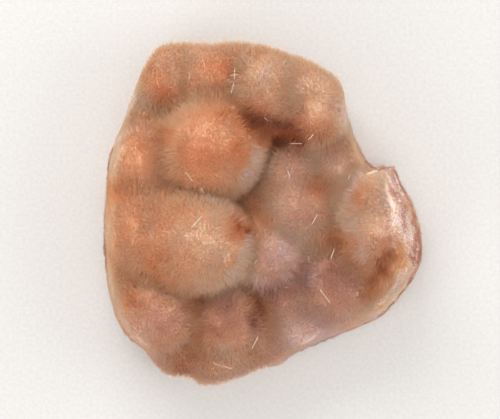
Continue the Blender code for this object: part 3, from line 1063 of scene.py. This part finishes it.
def mix_colour(tree, share, low, high, blend_type="MIX"):
    """A colour mix whose share is a number or a socket."""
    new = node(tree, "ShaderNodeMix", data_type="RGBA", blend_type=blend_type)
    if isinstance(share, float):
        new.inputs[0].default_value = share
    else:
        tree.links.new(share, new.inputs[0])
    tree.links.new(low, new.inputs[6])
    tree.links.new(high, new.inputs[7])
    return new.outputs[2]


def crystal_colour(tree):
    """The colour that the tint and the shade of a point give."""
    tint, shade = attribute(tree, "tint"), attribute(tree, "shade")
    deep, body, tip = (ramp(tree, tint, c) for c in (DEEP_COLOURS, BODY_COLOURS, TIP_COLOURS))
    body = mix_colour(tree, share_between(tree, shade, 0.0, BODY_SHADE), deep, body)
    return mix_colour(tree, share_between(tree, shade, BODY_SHADE, 1.0), body, tip)


print("palette of", len(BODY_COLOURS), "tints in three shades")

# %% [markdown]
# Silky needles are seen in masses: most light passes through them and comes back soft. Glassy
# ones stand alone, with clean faces, so they are smoother and let less light through.

# %% Needle materials
def needle_material(name, roughness, glow):
    """A translucent needle finish. glow is the share of light that passes through."""
    material, tree, shader = new_material(name, {"Roughness": roughness, "IOR": MESOLITE_IOR})
    colour = crystal_colour(tree)
    tree.links.new(colour, shader.inputs["Base Color"])
    through = node(tree, "ShaderNodeBsdfTranslucent", links={"Color": colour})
    mixed = node(tree, "ShaderNodeMixShader", Fac=glow)
    tree.links.new(shader.outputs["BSDF"], mixed.inputs[1])
    tree.links.new(through.outputs["BSDF"], mixed.inputs[2])
    tree.links.new(mixed.outputs["Shader"], tree.nodes["Material Output"].inputs["Surface"])
    return material


silky = needle_material("mesolite_silky_needles", 0.42, 0.75)
glassy = needle_material("mesolite_glassy_needles", 0.18, 0.45)
for piece in (*fur, fibres):
    piece.data.materials.append(silky)
for piece in (rims, strays, teeth):
    piece.data.materials.append(glassy)
print("needle finishes:", silky.name, glassy.name)

# %% [markdown]
# ## Finish: massive mesolite
#
# Under the tips the mass has the same peach colour, and is a deep red brown in the hollows, partly
# iron stain and partly painted shade. Light enters it a few millimetres, which the subsurface
# setting gives, and the fine velvet of needle tips that are too small to model is a sheen. The rind
# is paler and greyer: packed fibres scatter the light, so it is a milky rose grey, with patches
# some 10 mm wide and a fine streak along the fibres, about 0.5 mm wide.

# %% Bed material
RIND_COLOURS = (
    (0, "#F4DACE"), (0.25, "#E6C2B2"), (0.5, "#CC9C84"), (0.75, "#BC9484"), (1, "#AC9A94"),
)
BED_SETTINGS = {
    "Roughness": 0.55, "IOR": MESOLITE_IOR,
    "Subsurface Weight": 0.8, "Subsurface Radius": (1.0, 0.45, 0.25), "Subsurface Scale": 2.5 * MM,
    "Sheen Weight": 0.12, "Sheen Roughness": 0.5, "Sheen Tint": linear("#FFE3CC"),
}


def bed_material():
    material, tree, shader = new_material("mesolite_massive_rind", BED_SETTINGS)
    place = node(tree, "ShaderNodeTexCoord").outputs["Object"]
    grain = noise(tree, place, 2200.0)
    stretch = node(tree, "ShaderNodeMapping", links={"Vector": place}, Scale=(1.0, 1.0, 0.15))
    streaks = noise(tree, stretch.outputs["Vector"], 1500.0, detail=4.0)
    pale = ramp(tree, attribute(tree, "rind_tint"), RIND_COLOURS)
    streaked = mix_colour(tree, 0.3, pale, streaks, "SOFT_LIGHT")
    speckled = mix_colour(tree, 0.5, crystal_colour(tree), grain, "SOFT_LIGHT")
    share = share_between(tree, attribute(tree, "rind"), 0.0, 0.5)
    colour = mix_colour(tree, share, speckled, streaked)
    tree.links.new(colour, shader.inputs["Base Color"])
    bump = node(tree, "ShaderNodeBump", links={"Height": grain}, Strength=0.5, Distance=0.25 * MM)
    tree.links.new(bump.outputs["Normal"], shader.inputs["Normal"])
    return material


bed.data.materials.clear()
bed.data.materials.append(bed_material())
print("bed finish:", bed.data.materials[0].name)

# %% [markdown]
# ## Bind the pieces to the frame
#
# The specimen is one rigid thing, so every piece rides on its one body, and the bed stands for
# the imported solid.

# %% Ride and replace
pieces = (bed, rims, strays, teeth, fibres, *fur)
for piece in pieces:
    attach(piece, "root")
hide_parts("mesolite_mass")
triangles = [sum(len(face.vertices) - 2 for face in piece.data.polygons) for piece in pieces]
print(len(pieces), "pieces, the largest", max(triangles), "triangles, all", sum(triangles))

# %% [markdown]
# ## Floor
#
# The floor is a plain pale sheet of matt paper, with a fine grain about 1 mm wide. It is staged,
# so it is no part of the specimen.

# %% Floor
FLOOR_HALF = 0.6


def make_floor():
    bm = bmesh.new()
    bmesh.ops.create_grid(bm, x_segments=1, y_segments=1, size=FLOOR_HALF)
    mesh = bpy.data.meshes.new("floor")
    bm.to_mesh(mesh)
    bm.free()
    material, tree, shader = new_material("matt_paper", {"Roughness": 0.9})
    place = node(tree, "ShaderNodeTexCoord").outputs["Object"]
    paper = node(tree, "ShaderNodeValToRGB", links={"Fac": noise(tree, place, 900.0)})
    set_ramp(paper, ((0.3, "#CCCAC6"), (0.7, "#D4D2CE")))
    tree.links.new(paper.outputs["Color"], shader.inputs["Base Color"])
    mesh.materials.append(material)
    return new_object("floor", mesh)


floor = make_floor()
print("floor", 2 * FLOOR_HALF, "m across")

# %% [markdown]
# ## Lights
#
# A large soft light stands beyond the upper edge, half way up, as in a studio. Weaker ones at the
# right, at the lower left and beside the camera soften its shadows, and the world gives an even
# glow, so that the creases stay warm and open.

# %% Lights
LIGHTS = (  # name, place in metres, watts, width, height
    ("upper_light", (-0.14, 0.38, 0.36), 1.4, 0.36, 0.22),
    ("right_light", (0.38, -0.04, 0.28), 0.7, 0.30, 0.30),
    ("left_light", (-0.30, -0.26, 0.28), 0.6, 0.30, 0.30),
    ("camera_light", (0.02, -0.06, 0.62), 0.4, 0.30, 0.30),
)
LIT_POINT = (-0.01, 0.01, 0.02)
GLOW = 0.9


def soft_light(name, place, power, width, height):
    data = bpy.data.lights.new(name, "AREA")
    data.shape = "RECTANGLE"
    data.size = width
    data.size_y = height
    data.energy = power
    lamp = new_object(name, data)
    lamp.location = place
    lamp.rotation_euler = (Vector(LIT_POINT) - Vector(place)).to_track_quat("-Z", "Y").to_euler()


for light in LIGHTS:
    soft_light(*light)
world = bpy.data.worlds.new("studio")
bpy.context.scene.world = world
world.use_nodes = True
world.node_tree.nodes["Background"].inputs["Color"].default_value = linear("#F4F4F6")
world.node_tree.nodes["Background"].inputs["Strength"].default_value = GLOW
bpy.context.scene.view_settings.view_transform = "Standard"

# %% [markdown]
# ## Camera
#
# The camera looks straight down on the face of the specimen, through a long lens from far off, so
# that the sides hardly show.

# %% Camera
LENS = 120.0
SENSOR = 36.0
FRAME_WIDTH = 160.0  # mm across the picture at the height of AIM
AIM = (-4.2, 1.3, 22.0)

camera_data = bpy.data.cameras.new("camera")
camera_data.lens = LENS
camera_data.sensor_width = SENSOR
camera = new_object("camera", camera_data)
camera.location = (AIM[0] * MM, AIM[1] * MM, (AIM[2] + FRAME_WIDTH * LENS / SENSOR) * MM)
camera_data.clip_start = 0.01
camera_data.clip_end = 10.0
bpy.context.scene.camera = camera
print("camera height, m:", round(camera.location.z, 3))
